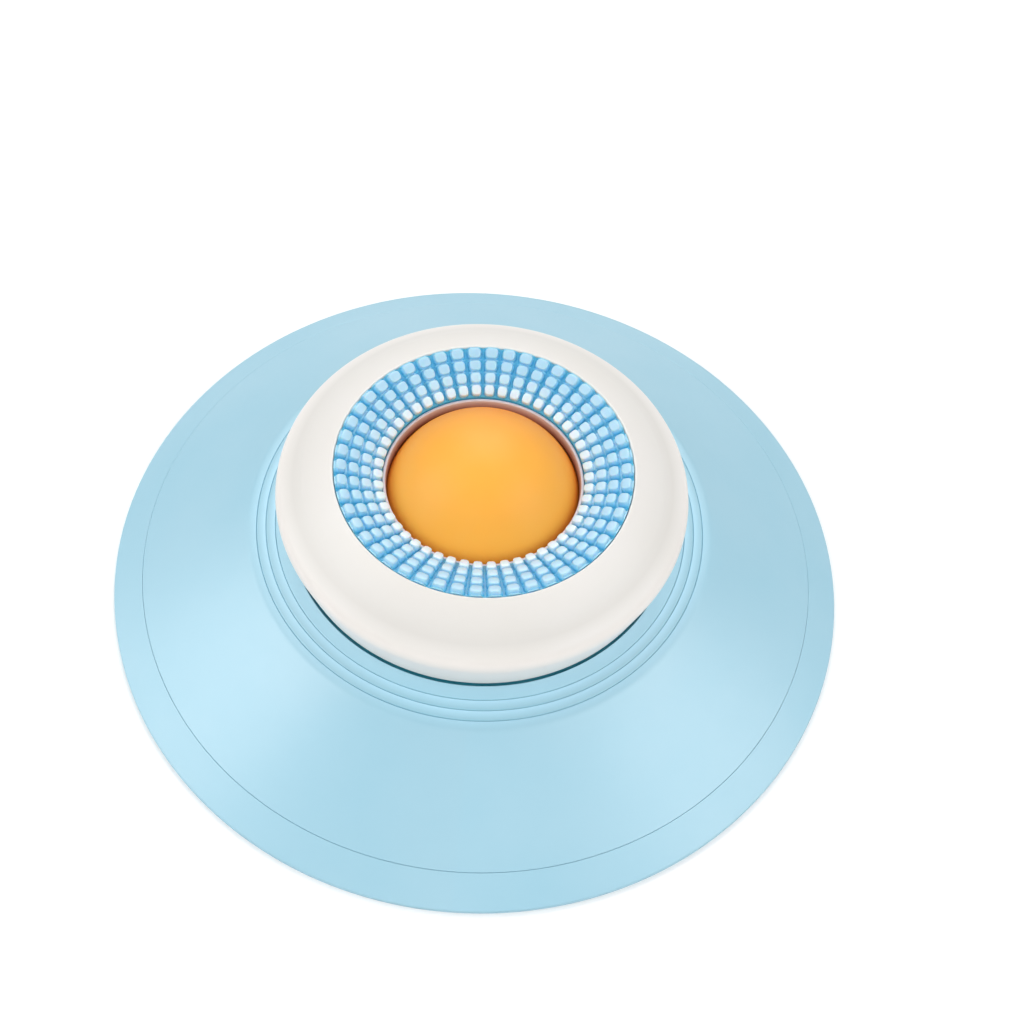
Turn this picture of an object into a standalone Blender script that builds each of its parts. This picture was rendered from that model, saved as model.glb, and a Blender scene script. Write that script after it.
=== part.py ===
"""A free-standing lick toy: a flared base on a soft rim, a lift-out food cup, a bayonet lid that carries a
ring of soft nubs, and a ball that rolls in the food. Metres, +Z up, origin on the ground at the middle."""

import math

import bmesh
import bpy

MM = 0.001

# Fits and facets
GAP = 0.3 * MM  # between pieces that touch
OUTER_STEPS = 48  # facets round the pieces that show
INNER_STEPS = 36  # facets round the pieces inside the lid and the cup
SMALL_STEPS = 16  # facets round the suction cups and their bosses
SHARP_ANGLE = math.radians(30)

# Base skirt
RIM_RADIUS = 75.0 * MM
RIM_EDGE = 1.0 * MM  # height of the rim's upright outer edge
SEAT_HEIGHT = 22.6 * MM  # flat seat under the collar and the cup's flange
SEAT_MARGIN = 3.0 * MM  # seat past the collar's foot
SEAT_THICKNESS = 2.6 * MM
MOAT_INSIDE = 1.2 * MM  # groove in the seat, under the collar's foot
MOAT_OUTSIDE = 0.45 * MM  # and past it, where it shows as a dark line
MOAT_DEPTH = 1.4 * MM
TERRACE_COUNT = 3
TERRACE_WIDTH = 1.9 * MM
TERRACE_RISE = 0.8 * MM
TERRACE_ROLL = 1.3 * MM  # part of each step's width that rolls down
ROLL_STEPS = 2
SKIRT_WALL = 2.4 * MM
SLEEVE_WALL = 2.0 * MM
SLEEVE_DEPTH = 9.0 * MM  # sleeve below the seat that guides the cup

# Rim grip
GRIP_WIDTH = 6.2 * MM
GRIP_COVER = 1.0 * MM  # depth of the skirt's tongue under the grip's outer face
GRIP_CHAMFER = 0.3 * MM
TONGUE_LENGTH = 2.0 * MM
TONGUE_THICKNESS = 1.0 * MM

# Suction cups
SUCTION_COUNT = 4
SUCTION_RADIUS = 12.5 * MM
SUCTION_INSET = 4.3 * MM  # lip to the rim grip
SUCTION_HEIGHT = 5.0 * MM  # lip to shoulder
SUCTION_WALL = 1.2 * MM
SUCTION_LIFT = 0.3 * MM  # lip above the ground
SHOULDER_RADIUS = 5.0 * MM
STEM_RADIUS = 2.2 * MM
STEM_LENGTH = 2.9 * MM
HEAD_RADIUS = 3.1 * MM
HEAD_HEIGHT = 1.5 * MM
BOSS_WALL = 2.2 * MM

# Food cup
GROUND_GAP = 3.0 * MM  # cup's underside above the ground
CUP_BORE = 31.2 * MM  # radius inside
CUP_WALL = 1.8 * MM
CUP_FLOOR = 1.6 * MM
CUP_FLOOR_RADIUS = 17.0 * MM  # flat part of the floor
CUP_BOWL_TOP = 2.6 * MM  # where the bowl's curve ends, below the seat
FLANGE_WIDTH = 2.2 * MM
FLANGE_THICKNESS = 1.4 * MM
BOWL_STEPS = 5

# Ribs that carry the ball
RIB_COUNT = 4
RIB_THICKNESS = 1.6 * MM
RIB_HEIGHT = 0.9 * MM  # over the floor, under the middle of the ball
RIB_INNER = 5.0 * MM
RIB_OUTER = 14.0 * MM
RIB_STEPS = 4

# Bayonet between the cup and the collar
LUG_COUNT = 3
LUG_SPAN = math.radians(24)
LUG_HEIGHT = 1.8 * MM
LEDGE_SPAN = math.radians(30)
LEDGE_HEIGHT = 1.8 * MM
LEDGE_PLAY = 0.4 * MM  # upright play of the collar's ledges
LEDGE_REACH_GAP = 0.5 * MM  # ledge to the cup's neck
BLOCK_STEPS = 4

# Ball
BALL_RADIUS = 20.0 * MM
BALL_PLAY = 0.4 * MM  # ball to the lip that keeps it in
BALL_STEPS = 32

# Collar, with heights over the seat
COLLAR_WALL = 2.4 * MM
COLLAR_FLARE = 2.6 * MM  # widest edge past the foot
COLLAR_EDGE_HEIGHT = 9.55 * MM
COLLAR_EDGE_ROUND = 3.0 * MM  # radius of the full, soft edge
EDGE_STEPS = 4
CREASE_INSET = 5.2 * MM  # crease in from the widest edge
CREASE_HEIGHT = 14.7 * MM
LID_HEIGHT = 17.8 * MM  # seam where the nub ring begins
COLLAR_LIP = 2.2 * MM  # thickness over the nub ring's flange

# Nub ring
NUB_ROWS = 4
NUB_COLUMNS = 50
NUB_HEIGHT = 1.3 * MM
NUB_TAPER = 0.16 * MM  # each side leans in by this much
NUB_ROW_GAP = 0.36 * MM
NUB_MARGIN = 0.12 * MM  # plain edge inside and outside the rows
NUB_FILL = 0.76  # share of a column's pitch that a nub fills
NUB_SHEET = 1.5 * MM  # thickness at the hole
NUB_RECESS = 0.6 * MM  # outer edge below the collar's seam
NUB_FLANGE_WIDTH = 2.0 * MM
NUB_FLANGE_THICKNESS = 1.2 * MM
FUNNEL_DROP = 4.4 * MM  # hole's edge below the collar's seam

# Retaining ring and seal
LIP_DEPTH = 3.1 * MM  # lip's underside below the hole's edge
LIP_RECESS = 0.4 * MM  # lip's top below the hole's edge
LIP_WALL = 0.6 * MM
RETAINER_THICKNESS = 2.2 * MM
RETAINER_OVERHANG = 0.4 * MM  # past the cup's wall
RETAINER_RIM = 2.4 * MM  # plain rim outside the nub ring's flange
SEAL_THICKNESS = 1.3 * MM
SEAL_SKIRT = 1.0 * MM
SEAL_SKIRT_DEPTH = 2.0 * MM

# Cup and its place in the base
CUP_OUTER = CUP_BORE + CUP_WALL
SOCKET_RADIUS = CUP_OUTER + GAP
FLANGE_RADIUS = CUP_OUTER + FLANGE_WIDTH
FLANGE_TOP = SEAT_HEIGHT + GAP + FLANGE_THICKNESS
FLOOR_TOP = GROUND_GAP + CUP_FLOOR
BALL_HEIGHT = FLOOR_TOP + RIB_HEIGHT + GAP + BALL_RADIUS

# Collar's foot on the seat, outside the cup's flange
COLLAR_BORE = FLANGE_RADIUS + GAP
COLLAR_FOOT_RADIUS = COLLAR_BORE + COLLAR_WALL
COLLAR_EDGE_RADIUS = COLLAR_FOOT_RADIUS + COLLAR_FLARE
SEAT_RADIUS = COLLAR_FOOT_RADIUS + SEAT_MARGIN

# Skirt: a straight cone from the lowest terrace to the rim's edge
NECK_RADIUS = SEAT_RADIUS + TERRACE_COUNT * TERRACE_WIDTH
NECK_HEIGHT = SEAT_HEIGHT - TERRACE_COUNT * TERRACE_RISE
CONE_SLOPE = (NECK_HEIGHT - RIM_EDGE) / (RIM_RADIUS - NECK_RADIUS)
GRIP_SEAM = RIM_RADIUS - GRIP_WIDTH

# Lid, stacked downwards from the collar's seam
SEAM_HEIGHT = SEAT_HEIGHT + LID_HEIGHT
COLLAR_LIP_UNDER = SEAM_HEIGHT - COLLAR_LIP
RETAINER_RADIUS = CUP_OUTER + RETAINER_OVERHANG
NUB_FLANGE_RADIUS = RETAINER_RADIUS - RETAINER_RIM
NUB_RADIUS = NUB_FLANGE_RADIUS - NUB_FLANGE_WIDTH
SEAM_RADIUS = NUB_RADIUS + GAP
NUB_FLANGE_TOP = COLLAR_LIP_UNDER - GAP
NUB_FLANGE_UNDER = NUB_FLANGE_TOP - NUB_FLANGE_THICKNESS
RETAINER_TOP = NUB_FLANGE_UNDER - GAP
RETAINER_UNDER = RETAINER_TOP - RETAINER_THICKNESS
SEAL_TOP = RETAINER_UNDER - GAP
SEAL_UNDER = SEAL_TOP - SEAL_THICKNESS
SEAL_BORE = CUP_BORE - GAP - SEAL_SKIRT
CUP_RIM = SEAL_UNDER - GAP

# Hole: just too small for the ball to pass
HOLE_HEIGHT = SEAM_HEIGHT - FUNNEL_DROP
LIP_TOP = HOLE_HEIGHT - LIP_RECESS
LIP_UNDER = HOLE_HEIGHT - LIP_DEPTH
HOLE_RADIUS = math.sqrt(BALL_RADIUS**2 - (LIP_UNDER - BALL_HEIGHT) ** 2) + BALL_PLAY
LIP_RADIUS = HOLE_RADIUS + LIP_WALL
NUB_BORE = LIP_RADIUS + GAP

# Bayonet heights: ledges on the collar turn under lugs on the cup
LEDGE_LOW = FLANGE_TOP + LEDGE_PLAY
LEDGE_TOP = LEDGE_LOW + LEDGE_HEIGHT
LUG_LOW = LEDGE_TOP + LEDGE_PLAY
LUG_TOP = LUG_LOW + LUG_HEIGHT

# Suction cups and their bosses
SUCTION_CIRCLE = GRIP_SEAM - SUCTION_INSET - SUCTION_RADIUS
BOSS_LOW = SUCTION_LIFT + SUCTION_HEIGHT + GAP
BOSS_RADIUS = HEAD_RADIUS + GAP + BOSS_WALL
STEM_TOP = SUCTION_LIFT + SUCTION_HEIGHT + STEM_LENGTH


def clear_scene():
    for thing in list(bpy.data.objects):
        bpy.data.objects.remove(thing)


def material(name, colour, roughness):
    """A plain moulded finish; colour is linear red, green and blue."""
    made = bpy.data.materials.new(name)
    made.use_nodes = True
    shader = made.node_tree.nodes["Principled BSDF"]
    shader.inputs["Base Color"].default_value = (*colour, 1.0)
    shader.inputs["Roughness"].default_value = roughness
    shader.inputs["Metallic"].default_value = 0.0
    return made


def add_object(name, mesh, finish=None, parent=None, place=(0.0, 0.0, 0.0)):
    thing = bpy.data.objects.new(name, mesh)
    if finish:
        mesh.materials.clear()
        mesh.materials.append(finish)
    thing.parent = parent
    thing.location = place
    bpy.context.scene.collection.objects.link(thing)
    return thing


def finished(solid, name):
    """The mesh of a bmesh solid, facing out and smooth except at its edges."""
    bmesh.ops.recalc_face_normals(solid, faces=solid.faces)
    mesh = bpy.data.meshes.new(name)
    solid.to_mesh(mesh)
    solid.free()
    mesh.shade_smooth()
    mesh.set_sharp_from_angle(angle=SHARP_ANGLE)
    return mesh


def add_empty(name, parent=None, place=(0.0, 0.0, 0.0)):
    return add_object(name, None, parent=parent, place=place)


def even_angles(steps):
    return [math.tau * step / steps for step in range(steps)]


def revolve(profile, angles):
    """A closed solid turned about Z from a closed outline of (radius, height) points. Gives the solid and its
    faces, one band for each side of the outline."""
    solid = bmesh.new()
    rings = []
    for radius, height in profile:
        turns = angles if radius else [0.0]
        rings.append(
            [solid.verts.new((radius * math.cos(a), radius * math.sin(a), height)) for a in turns]
        )
    bands = []
    for near, far in zip(rings, rings[1:] + rings[:1]):
        if len(near) == len(far) == 1:
            continue
        band = []
        for step in range(len(angles)):
            ahead = (step + 1) % len(angles)
            corners = (
                near[step % len(near)],
                near[ahead % len(near)],
                far[ahead % len(far)],
                far[step % len(far)],
            )
            band.append(solid.faces.new(list(dict.fromkeys(corners))))
        bands.append(band)
    bmesh.ops.recalc_face_normals(solid, faces=solid.faces)
    return solid, bands


def turned_mesh(name, profile, steps):
    solid, _ = revolve(profile, even_angles(steps))
    return finished(solid, name)


def add_loft(solid, sections):
    """Closes a run of matching corner loops into a solid: a side between each pair, and both ends."""
    loops = [[solid.verts.new(corner) for corner in section] for section in sections]
    count = len(loops[0])
    for near, far in zip(loops, loops[1:]):
        for corner in range(count):
            ahead = (corner + 1) % count
            solid.faces.new((near[corner], near[ahead], far[ahead], far[corner]))
    solid.faces.new(loops[0])
    solid.faces.new(loops[-1])


def add_block(solid, inner, outer, low, high, middle, span):
    """A curved block on a circle about Z, between two radii and two heights."""
    sections = []
    for step in range(BLOCK_STEPS + 1):
        angle = middle + span * (step / BLOCK_STEPS - 0.5)
        along = (math.cos(angle), math.sin(angle))
        corners = ((inner, low), (outer, low), (outer, high), (inner, high))
        sections.append([(r * along[0], r * along[1], z) for r, z in corners])
    add_loft(solid, sections)


def combine(target, operation, operand):
    """A Boolean on target; the operand is only a guide."""
    operand.hide_render = True
    operand.display_type = "WIRE"
    step = target.modifiers.new(operand.name, "BOOLEAN")
    step.operation = operation
    step.object = operand
    step.solver = "EXACT"


def cone_height(radius, depth=0.0):
    """Height of the skirt's cone at a radius, at a depth square to its outer face."""
    outer = RIM_EDGE + (RIM_RADIUS - radius) * CONE_SLOPE
    return outer - depth * math.hypot(1.0, CONE_SLOPE)


def wall_middle(radius):
    """Height of the middle of the skirt's wall, or of the seat's plate further in."""
    return min(cone_height(radius, SKIRT_WALL / 2), SEAT_HEIGHT - SEAT_THICKNESS / 2)


def skirt_profile():
    moat_inner = COLLAR_FOOT_RADIUS - MOAT_INSIDE
    moat_outer = COLLAR_FOOT_RADIUS + MOAT_OUTSIDE
    moat_floor = SEAT_HEIGHT - MOAT_DEPTH
    points = [
        (SOCKET_RADIUS, SEAT_HEIGHT),
        (moat_inner, SEAT_HEIGHT),
        (moat_inner, moat_floor),
        (moat_outer, moat_floor),
        (moat_outer, SEAT_HEIGHT),
    ]
    for step in range(TERRACE_COUNT):
        radius = SEAT_RADIUS + step * TERRACE_WIDTH
        height = SEAT_HEIGHT - step * TERRACE_RISE
        for roll in range(ROLL_STEPS + 1):
            angle = math.pi / 2 * roll / ROLL_STEPS
            inset = TERRACE_ROLL * (1 - math.sin(angle))
            points.append((radius - inset, height - TERRACE_RISE * (1 - math.cos(angle))))
    tongue_end = GRIP_SEAM + TONGUE_LENGTH
    tongue_under = GRIP_COVER + TONGUE_THICKNESS
    points.append((NECK_RADIUS, NECK_HEIGHT))
    points.append((GRIP_SEAM, cone_height(GRIP_SEAM)))
    points.append((GRIP_SEAM, cone_height(GRIP_SEAM, GRIP_COVER)))
    points.append((tongue_end, cone_height(tongue_end, GRIP_COVER)))
    points.append((tongue_end, cone_height(tongue_end, tongue_under)))
    points.append((GRIP_SEAM, cone_height(GRIP_SEAM, tongue_under)))
    points.append((GRIP_SEAM, cone_height(GRIP_SEAM, SKIRT_WALL)))
    seat_under = SEAT_HEIGHT - SEAT_THICKNESS
    under_radius = GRIP_SEAM - (seat_under - points[-1][1]) / CONE_SLOPE
    points.append((under_radius, seat_under))
    points.append((SOCKET_RADIUS + SLEEVE_WALL, seat_under))
    points.append((SOCKET_RADIUS + SLEEVE_WALL, SEAT_HEIGHT - SLEEVE_DEPTH))
    points.append((SOCKET_RADIUS, SEAT_HEIGHT - SLEEVE_DEPTH))
    return points


def suction_places():
    turns = [math.tau * (index + 0.5) / SUCTION_COUNT for index in range(SUCTION_COUNT)]
    return [(SUCTION_CIRCLE * math.cos(a), SUCTION_CIRCLE * math.sin(a)) for a in turns]


def boss_mesh():
    """Round posts that grow down from the middle of the skirt's wall, one over each suction cup."""
    solid = bmesh.new()
    for x, y in suction_places():
        foot = []
        head = []
        for angle in even_angles(SMALL_STEPS):
            corner = (x + BOSS_RADIUS * math.cos(angle), y + BOSS_RADIUS * math.sin(angle))
            foot.append((*corner, BOSS_LOW))
            head.append((*corner, wall_middle(math.hypot(*corner))))
        add_loft(solid, [foot, head])
    return finished(solid, "boss_posts")


def boss_bore_mesh():
    """Stepped blind holes that take the suction cups' stems and heads."""
    neck = STEM_RADIUS + GAP
    chamber = HEAD_RADIUS + GAP
    ledge = STEM_TOP - GAP
    levels = (
        (neck, BOSS_LOW - SUCTION_HEIGHT / 2),
        (neck, ledge),
        (chamber, ledge),
        (chamber, STEM_TOP + HEAD_HEIGHT + GAP),
    )
    solid = bmesh.new()
    for x, y in suction_places():
        sections = []
        for radius, height in levels:
            turns = even_angles(SMALL_STEPS)
            sections.append(
                [(x + radius * math.cos(a), y + radius * math.sin(a), height) for a in turns]
            )
        add_loft(solid, sections)
    return finished(solid, "boss_bores")


def make_base(finish):
    skirt = add_object("base_skirt", turned_mesh("base_skirt", skirt_profile(), OUTER_STEPS), finish)
    combine(skirt, "UNION", add_object("boss_posts", boss_mesh()))
    combine(skirt, "DIFFERENCE", add_object("boss_bores", boss_bore_mesh()))
    return skirt


def make_rim_grip(finish, base):
    inner = GRIP_SEAM + GAP
    slot_end = GRIP_SEAM + TONGUE_LENGTH + GAP
    slot_top = GRIP_COVER - GAP
    slot_under = GRIP_COVER + TONGUE_THICKNESS + GAP
    profile = [
        (inner, cone_height(inner)),
        (RIM_RADIUS, RIM_EDGE),
        (RIM_RADIUS, GRIP_CHAMFER),
        (RIM_RADIUS - GRIP_CHAMFER, 0.0),
        (inner, 0.0),
        (inner, cone_height(inner, slot_under)),
        (slot_end, cone_height(slot_end, slot_under)),
        (slot_end, cone_height(slot_end, slot_top)),
        (inner, cone_height(inner, slot_top)),
    ]
    add_object("rim_grip", turned_mesh("rim_grip", profile, OUTER_STEPS), finish, base)


def make_suction_cups(finish, base):
    shoulder = SUCTION_LIFT + SUCTION_HEIGHT
    bend = (SHOULDER_RADIUS + SUCTION_RADIUS) / 2
    bend_height = SUCTION_LIFT + SUCTION_WALL + (SUCTION_HEIGHT - SUCTION_WALL) * 0.6
    profile = [
        (0.0, STEM_TOP + HEAD_HEIGHT),
        (STEM_RADIUS, STEM_TOP + HEAD_HEIGHT),
        (HEAD_RADIUS, STEM_TOP),
        (STEM_RADIUS, STEM_TOP),
        (STEM_RADIUS, shoulder),
        (SHOULDER_RADIUS, shoulder),
        (bend, bend_height),
        (SUCTION_RADIUS, SUCTION_LIFT + SUCTION_WALL),
        (SUCTION_RADIUS, SUCTION_LIFT),
        (bend, bend_height - SUCTION_WALL),
        (0.0, shoulder - SUCTION_WALL),
    ]
    mesh = turned_mesh("suction_cup", profile, SMALL_STEPS)
    for index, (x, y) in enumerate(suction_places()):
        add_object(f"suction_cup_{index + 1}", mesh, finish, base, (x, y, 0.0))


def bowl_curve(wall):
    """A quarter ellipse from the cup's upright wall down to the edge of its flat floor."""
    top = SEAT_HEIGHT - CUP_BOWL_TOP
    floor = FLOOR_TOP if wall == CUP_BORE else GROUND_GAP
    curve = []
    for step in range(BOWL_STEPS + 1):
        angle = math.pi / 2 * step / BOWL_STEPS
        radius = CUP_FLOOR_RADIUS + (wall - CUP_FLOOR_RADIUS) * math.cos(angle)
        curve.append((radius, top - (top - floor) * math.sin(angle)))
    return curve


def cup_profile():
    inside = [(0.0, FLOOR_TOP), *reversed(bowl_curve(CUP_BORE)), (CUP_BORE, CUP_RIM)]
    outside = [
        (CUP_OUTER, CUP_RIM),
        (CUP_OUTER, FLANGE_TOP),
        (FLANGE_RADIUS, FLANGE_TOP),
        (FLANGE_RADIUS, SEAT_HEIGHT + GAP),
        (CUP_OUTER, SEAT_HEIGHT + GAP),
        *bowl_curve(CUP_OUTER),
        (0.0, GROUND_GAP),
    ]
    return inside + outside


def rib_mesh():
    """Fins on the cup's floor, hollowed on top to the ball's own curve."""
    solid = bmesh.new()
    root = GROUND_GAP + CUP_FLOOR / 2
    reach = BALL_RADIUS + GAP
    outline = [(RIB_OUTER, root), (RIB_INNER, root)]
    for step in range(RIB_STEPS + 1):
        radius = RIB_INNER + (RIB_OUTER - RIB_INNER) * step / RIB_STEPS
        outline.append((radius, BALL_HEIGHT - math.sqrt(reach**2 - radius**2)))
    for turn in even_angles(RIB_COUNT):
        along = (math.cos(turn), math.sin(turn))
        sides = []
        for offset in (-RIB_THICKNESS / 2, RIB_THICKNESS / 2):
            sides.append(
                [(r * along[0] - offset * along[1], r * along[1] + offset * along[0], z) for r, z in outline]
            )
        add_loft(solid, sides)
    return finished(solid, "ball_ribs")


def lug_mesh():
    solid = bmesh.new()
    for index in range(LUG_COUNT):
        middle = math.tau * (index + 0.5) / LUG_COUNT
        add_block(solid, CUP_OUTER - CUP_WALL / 2, FLANGE_RADIUS, LUG_LOW, LUG_TOP, middle, LUG_SPAN)
    return finished(solid, "cup_lugs")


def make_food_cup(finish, carrier):
    cup = add_object("food_cup", turned_mesh("food_cup", cup_profile(), INNER_STEPS), finish, carrier)
    combine(cup, "UNION", add_object("ball_ribs", rib_mesh()))
    combine(cup, "UNION", add_object("cup_lugs", lug_mesh()))


def make_cup_seal(finish, carrier):
    skirt_radius = CUP_BORE - GAP
    profile = [
        (SEAL_BORE, SEAL_TOP),
        (CUP_OUTER, SEAL_TOP),
        (CUP_OUTER, SEAL_UNDER),
        (skirt_radius, SEAL_UNDER),
        (skirt_radius, SEAL_UNDER - SEAL_SKIRT_DEPTH),
        (SEAL_BORE, SEAL_UNDER - SEAL_SKIRT_DEPTH),
    ]
    add_object("cup_seal", turned_mesh("cup_seal", profile, INNER_STEPS), finish, carrier)


def nub_under(radius):
    """Height of the nub ring's underside, which slopes down to the hole."""
    share = (radius - NUB_BORE) / (NUB_FLANGE_RADIUS - NUB_BORE)
    low = HOLE_HEIGHT - NUB_SHEET
    return low + (NUB_FLANGE_UNDER - low) * share


def nub_top(radius):
    """Height of the funnel that the nubs stand on."""
    share = (radius - NUB_BORE) / (NUB_RADIUS - NUB_BORE)
    return HOLE_HEIGHT + (SEAM_HEIGHT - NUB_RECESS - HOLE_HEIGHT) * share


def make_nub_ring(finish, carrier):
    """A funnel of soft rubber whose top is divided into rows and columns, with a nub drawn up from each."""
    room = NUB_RADIUS - NUB_BORE - 2 * NUB_MARGIN - (NUB_ROWS - 1) * NUB_ROW_GAP
    length = room / NUB_ROWS
    radii = [NUB_BORE]
    for row in range(NUB_ROWS):
        start = NUB_BORE + NUB_MARGIN + row * (length + NUB_ROW_GAP)
        radii.extend((start, start + length))
    radii.append(NUB_RADIUS)
    profile = [(radius, nub_top(radius)) for radius in radii]
    profile.append((NUB_RADIUS, NUB_FLANGE_TOP))
    profile.append((NUB_FLANGE_RADIUS, NUB_FLANGE_TOP))
    profile.append((NUB_FLANGE_RADIUS, NUB_FLANGE_UNDER))
    profile.append((NUB_BORE, nub_under(NUB_BORE)))
    pitch = math.tau / NUB_COLUMNS
    angles = []
    for column in range(NUB_COLUMNS):
        angles.extend((column * pitch, (column + NUB_FILL) * pitch))
    solid, bands = revolve(profile, angles)
    feet = [face for row in range(NUB_ROWS) for face in bands[1 + 2 * row][::2]]
    bmesh.ops.inset_individual(solid, faces=feet, thickness=NUB_TAPER, depth=NUB_HEIGHT)
    add_object("nub_ring", finished(solid, "nub_ring"), finish, carrier)


def make_retaining_ring(finish, carrier):
    profile = [
        (HOLE_RADIUS, LIP_TOP),
        (LIP_RADIUS, LIP_TOP),
        (LIP_RADIUS, nub_under(LIP_RADIUS) - GAP),
        (NUB_FLANGE_RADIUS, RETAINER_TOP),
        (RETAINER_RADIUS, RETAINER_TOP),
        (RETAINER_RADIUS, RETAINER_UNDER),
        (SEAL_BORE, RETAINER_UNDER),
        (LIP_RADIUS + LIP_WALL, LIP_UNDER),
        (HOLE_RADIUS, LIP_UNDER),
    ]
    mesh = turned_mesh("retaining_ring", profile, INNER_STEPS)
    add_object("retaining_ring", mesh, finish, carrier)


def touch_angle(centre, point, side):
    """Angle on the collar's round edge where a straight side from a point touches it."""
    across = point[0] - centre[0]
    up = point[1] - centre[1]
    return math.atan2(up, across) + side * math.acos(COLLAR_EDGE_ROUND / math.hypot(across, up))


def collar_edge(crease, foot):
    """The collar's full round edge, from the bevel under the crease to the side that draws in to the foot."""
    centre = (COLLAR_EDGE_RADIUS - COLLAR_EDGE_ROUND, SEAT_HEIGHT + COLLAR_EDGE_HEIGHT)
    start = touch_angle(centre, crease, -1)
    end = touch_angle(centre, foot, 1)
    points = []
    for step in range(EDGE_STEPS + 1):
        angle = start + (end - start) * step / EDGE_STEPS
        points.append(
            (
                centre[0] + COLLAR_EDGE_ROUND * math.cos(angle),
                centre[1] + COLLAR_EDGE_ROUND * math.sin(angle),
            )
        )
    return points


def collar_profile():
    low = SEAT_HEIGHT + GAP
    edge = SEAT_HEIGHT + COLLAR_EDGE_HEIGHT
    crease = (COLLAR_EDGE_RADIUS - CREASE_INSET, SEAT_HEIGHT + CREASE_HEIGHT)
    foot = (COLLAR_FOOT_RADIUS, low)
    recess = NUB_FLANGE_RADIUS + GAP
    ceiling = RETAINER_TOP + GAP
    return [
        (SEAM_RADIUS, SEAM_HEIGHT),
        crease,
        *collar_edge(crease, foot),
        foot,
        (COLLAR_BORE, low),
        (COLLAR_EDGE_RADIUS - COLLAR_WALL, edge),
        (RETAINER_RADIUS + GAP, ceiling),
        (recess, ceiling),
        (recess, COLLAR_LIP_UNDER),
        (SEAM_RADIUS, COLLAR_LIP_UNDER),
    ]


def ledge_mesh():
    solid = bmesh.new()
    inner = CUP_OUTER + LEDGE_REACH_GAP
    outer = COLLAR_BORE + COLLAR_WALL / 2
    for index in range(LUG_COUNT):
        middle = math.tau * index / LUG_COUNT
        add_block(solid, inner, outer, LEDGE_LOW, LEDGE_TOP, middle, LEDGE_SPAN)
    return finished(solid, "collar_ledges")


def make_collar(finish, carrier):
    collar = add_object("collar", turned_mesh("collar", collar_profile(), OUTER_STEPS), finish, carrier)
    combine(collar, "UNION", add_object("collar_ledges", ledge_mesh()))


def make_ball(finish, carrier):
    solid = bmesh.new()
    bmesh.ops.create_uvsphere(
        solid, u_segments=BALL_STEPS, v_segments=BALL_STEPS // 2, radius=BALL_RADIUS
    )
    add_object("lick_ball", finished(solid, "lick_ball"), finish, carrier, (0.0, 0.0, BALL_HEIGHT))


def main():
    clear_scene()
    sky_blue = material("sky_blue_plastic", (0.42, 0.70, 0.82), 0.45)
    rim_blue = material("rim_blue_rubber", (0.42, 0.70, 0.82), 0.6)
    clear_blue = material("suction_rubber", (0.55, 0.75, 0.82), 0.3)
    white = material("white_plastic", (0.85, 0.83, 0.80), 0.4)
    pale = material("retainer_plastic", (0.80, 0.78, 0.80), 0.4)
    cup_white = material("cup_plastic", (0.86, 0.86, 0.85), 0.35)
    seal_rubber = material("seal_rubber", (0.75, 0.76, 0.76), 0.6)
    nub_blue = material("nub_blue_rubber", (0.12, 0.44, 0.75), 0.35)
    orange = material("orange_ball", (0.95, 0.40, 0.06), 0.35)

    base = make_base(sky_blue)
    make_rim_grip(rim_blue, base)
    make_suction_cups(clear_blue, base)

    cup_carrier = add_empty("cup_lift_axis", base)
    make_food_cup(cup_white, cup_carrier)
    make_cup_seal(seal_rubber, cup_carrier)
    make_ball(orange, cup_carrier)

    lid_carrier = add_empty("lid_lift_axis", cup_carrier)
    make_retaining_ring(pale, lid_carrier)
    make_nub_ring(nub_blue, lid_carrier)
    make_collar(white, add_empty("collar_twist_axis", lid_carrier))


main()
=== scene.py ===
"""Looks of the lick toy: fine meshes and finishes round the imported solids, a plain studio and the camera."""

import math

import bmesh
import bpy
from mathutils import Matrix, Vector


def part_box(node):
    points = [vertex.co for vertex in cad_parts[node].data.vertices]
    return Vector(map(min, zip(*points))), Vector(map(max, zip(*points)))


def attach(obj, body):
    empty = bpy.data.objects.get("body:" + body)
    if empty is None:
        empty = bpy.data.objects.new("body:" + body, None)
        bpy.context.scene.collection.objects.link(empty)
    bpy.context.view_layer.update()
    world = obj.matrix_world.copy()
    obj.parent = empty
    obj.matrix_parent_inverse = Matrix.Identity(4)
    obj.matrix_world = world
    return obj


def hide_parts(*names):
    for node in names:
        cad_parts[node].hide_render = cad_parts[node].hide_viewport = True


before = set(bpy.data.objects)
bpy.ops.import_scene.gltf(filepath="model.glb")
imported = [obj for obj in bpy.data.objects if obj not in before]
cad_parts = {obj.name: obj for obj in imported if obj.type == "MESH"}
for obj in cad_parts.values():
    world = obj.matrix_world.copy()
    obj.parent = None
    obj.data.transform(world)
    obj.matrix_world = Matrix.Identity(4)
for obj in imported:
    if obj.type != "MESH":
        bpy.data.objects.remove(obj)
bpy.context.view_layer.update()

MM = 0.001
TINY = 0.001 * MM  # slack where heights and radii are compared

# Camera, with pixels counted in the picture's own frame
PICTURE_WIDTH = 1024
SENSOR_WIDTH = 36.0  # millimetres of film
FOCAL_PIXELS = 2000.0
CAMERA_ELEVATION = math.radians(58.778)
CAMERA_DISTANCE = 419.57 * MM
CAMERA_ROLL = math.radians(3.794)
AIM_RIGHT_PIXELS = 30.633  # the picture's middle, right of the base's middle
AIM_UP_PIXELS = 65.024  # and above it
CLIP_START = 10 * MM

# Facets of the fine meshes
TURN_STEPS = 192
SMALL_STEPS = 48
ARC_STEP = math.radians(9)
REACH_SHARE = 0.48  # most of a side that the rounding of one corner may take up
SUPPORT = 0.12 * MM  # from a rounded corner to the line that keeps its side flat
SHARP_ANGLE = math.radians(38)
BLOCK_STEPS = 10
BLOCK_ROUND_STEPS = 3
BLOCK_EDGE_ANGLE = math.radians(40)  # edges of a block that are sharper than this are softened

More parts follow.
